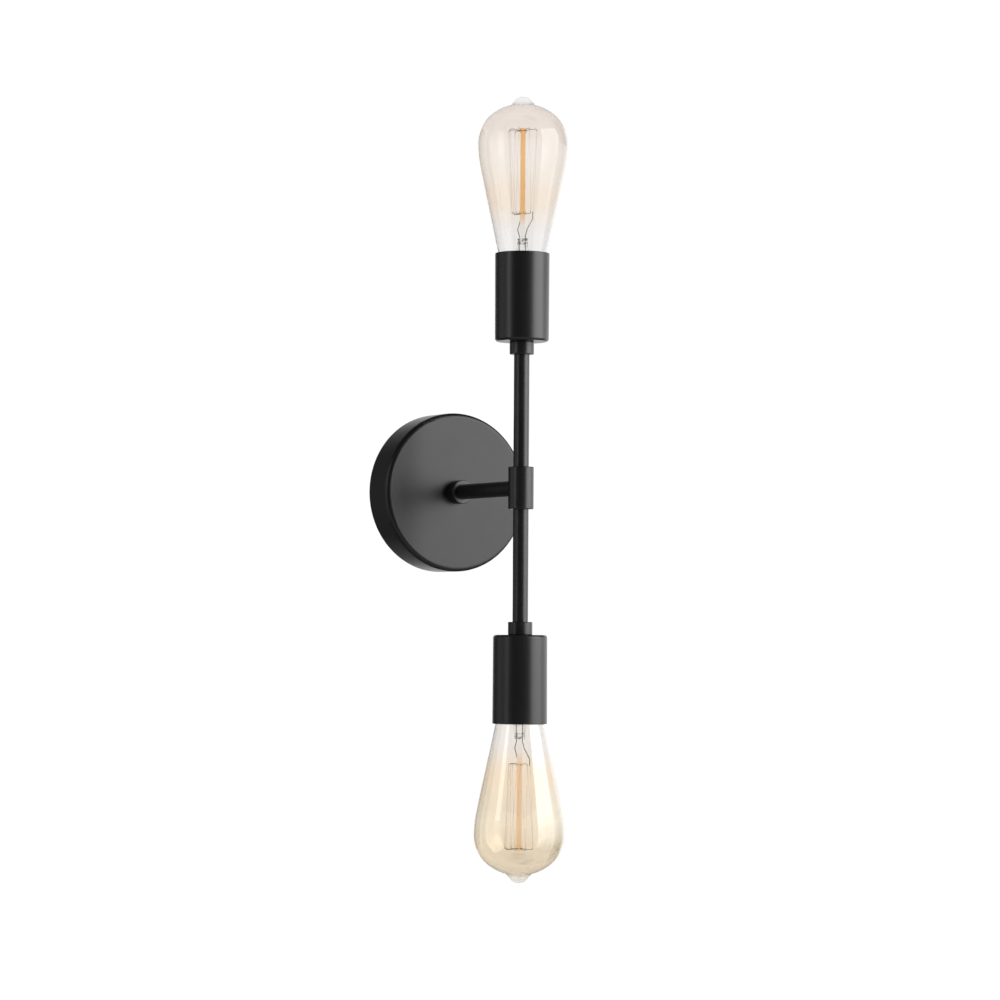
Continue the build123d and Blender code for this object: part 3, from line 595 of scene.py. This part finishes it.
def envelopeOutline(g):
    centre = g["belly"] - g["flank"]
    rise, across = g["bellyLevel"] - g["mouthLevel"], centre - g["mouth"]
    slope = atan2(rise, across) - asin(g["flank"] / hypot(rise, across))
    cone = sqrt(rise ** 2 + across ** 2 - g["flank"] ** 2)
    flank = (g["mouth"] + cone * cos(slope), g["mouthLevel"] + cone * sin(slope))
    shoulder = g["mouth"] - (g["mouthLevel"] - g["shoulderLevel"]) / tan(slope)
    run = roundedRun([(g["neck"], g["neckFoot"], 0), (g["neck"], g["neckTop"], g["neckBend"]),
                      (shoulder, g["shoulderLevel"], g["shoulderBend"]), (*flank, 0)])
    run += arcPoints((centre, g["bellyLevel"]), g["flank"], slope - pi / 2, 0, g["flankCuts"])[1:]

    # Dome: a shoulder arc runs into a cap arc that is centred on the axis
    arc, dome = g["domeShoulder"], g["dome"]
    cap = ((g["belly"] - arc) ** 2 + dome ** 2 - arc ** 2) / (2 * (dome - arc))
    turn = atan2(cap - dome, g["belly"] - arc)
    run += arcPoints((g["belly"] - arc, g["bellyLevel"]), arc, 0, turn, g["shoulderCuts"])[1:]

    # Tip: a small cap with a soft root
    low, high = g["bellyLevel"] - (cap - dome), g["tip"] - g["tipRadius"]
    root, gap = g["tipRoot"], high - low
    up = ((cap + root) ** 2 - (g["tipRadius"] + root) ** 2 + gap ** 2) / (2 * gap)
    out = sqrt((cap + root) ** 2 - up ** 2)
    leave, land = atan2(up, out), atan2(up - gap, out)
    run += arcPoints((0, low), cap, turn, leave, g["capCuts"])[1:]
    run += arcPoints((out, low + up), root, leave + pi, land + pi, g["rootCuts"])[1:]
    run += arcPoints((0, high), g["tipRadius"], land, pi / 2, g["tipCuts"])[1:-1]
    return [(r, h + g["seat"]) for r, h in run] + [(0, g["tip"] + g["seat"])]


upperGlass = spunPiece("upperBulbGlass", envelopeOutline(envelope), envelope["steps"])
thicken(upperGlass, envelope["wall"])
finishPiece(upperGlass, bulbGlass["upper"])
lowerGlass = lowerCopy(upperGlass, "lowerBulbGlass")
lowerGlass.material_slots[0].material = bulbGlass["lower"]
print("bulb glass blown")

# Bulb bases of thin rolled metal, with a thread of seven turns to the inch
bulbBase = {
    "foot": (0.00995, 0.1316), "knee": (0.01305, 0.1341), "kneeBend": 0.0008, "rimRoot": (0.01305, 0.1495),
    "rim": (0.01365, 0.1505), "top": (0.01365, 0.1515), "sheet": 0.0003, "ringStep": 0.0002, "steps": 96,
}
baseThread = {
    "fromRadius": 0.0128, "pitch": 0.0254 / 7, "depth": 0.0006, "low": 0.1348, "high": 0.1490, "fade": 0.0016,
}


def baseOutline(b):
    start = b["knee"][1] + b["kneeBend"]
    count = int((b["rimRoot"][1] - start) / b["ringStep"])
    rings = [(b["knee"][0], start + (b["rimRoot"][1] - start) * i / count) for i in range(1, count + 1)]
    bend = roundedRun([(*b["foot"], 0), (*b["knee"], b["kneeBend"]), (*b["rimRoot"], 0)])[:-1]
    return bend + rings + [b["rim"], b["top"]]


upperBase = spunPiece("upperBulbBase", baseOutline(bulbBase), bulbBase["steps"])
rollThread(upperBase, baseThread)
thicken(upperBase, bulbBase["sheet"])
finishPiece(upperBase, finishes["lamp_base"])
lowerBase = lowerCopy(upperBase, "lowerBulbBase")
print("bulb bases rolled")

# Screw shells: a rolled thread, a lip at the foot and a strip down to the neutral terminal
screwShell = {
    "lip": 0.0118, "radius": 0.0138, "foot": 0.12055, "top": 0.1492, "sheet": 0.0004,
    "ringStep": 0.0002, "steps": 96,
    "stripFace": -0.01245, "stripSheet": 0.0006, "stripWide": 0.0050, "stripEnd": 0.1095,
    "stripEdge": 0.0001, "edgeCuts": 2,
    "hole": 0.00165, "holeLevel": 0.1125, "holeSides": 32, "cutter": 0.004,
}
shellThread = {**baseThread, "fromRadius": 0.0130, "depth": 0.00025, "low": 0.1215, "high": 0.1487}


def shellOutline(s):
    count = int((s["top"] - s["foot"]) / s["ringStep"])
    rings = [(s["radius"], s["foot"] + (s["top"] - s["foot"]) * i / count) for i in range(count + 1)]
    return [(s["lip"], s["foot"])] + rings


def addStrip(shell, s):
    top = s["foot"] + s["sheet"] / 2
    across = s["stripFace"] + s["stripSheet"] / 2
    deselect()
    bpy.ops.mesh.primitive_cube_add(size=1, location=(across, columnY, (s["stripEnd"] + top) / 2))
    strip = bpy.context.object
    strip.scale = (s["stripSheet"], s["stripWide"], top - s["stripEnd"])
    bpy.ops.object.transform_apply(location=True, rotation=True, scale=True)
    applyModifier(strip, "BEVEL", width=s["stripEdge"], segments=s["edgeCuts"])
    deselect()
    bpy.ops.mesh.primitive_cylinder_add(vertices=s["holeSides"], radius=s["hole"], depth=s["cutter"],
                                        location=(across, columnY, s["holeLevel"]), rotation=(0, pi / 2, 0))
    cutter = bpy.context.object
    applyModifier(strip, "BOOLEAN", object=cutter, operation="DIFFERENCE", solver="EXACT")
    applyModifier(shell, "BOOLEAN", object=strip, operation="UNION", solver="EXACT")
    for tool in (cutter, strip):
        bpy.data.objects.remove(tool)


upperShell = spunPiece("upperScrewShell", shellOutline(screwShell), screwShell["steps"])
rollThread(upperShell, shellThread)
thicken(upperShell, screwShell["sheet"])
addStrip(upperShell, screwShell)
finishPiece(upperShell, finishes["brass"])
lowerShell = lowerCopy(upperShell, "lowerScrewShell")
print("screw shells rolled")

for end, shell in (("upper", upperShell), ("lower", lowerShell)):
    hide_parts(end + "_screw_shell")
    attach(shell, "fixture")
for end, glass, base in (("upper", upperGlass, upperBase), ("lower", lowerGlass, lowerBase)):
    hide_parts(end + "_bulb_glass")
    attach(glass, end + "_bulb")
    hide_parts(end + "_bulb_base")
    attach(base, end + "_bulb")
print("glass, bases and shells stand for their CAD nodes")
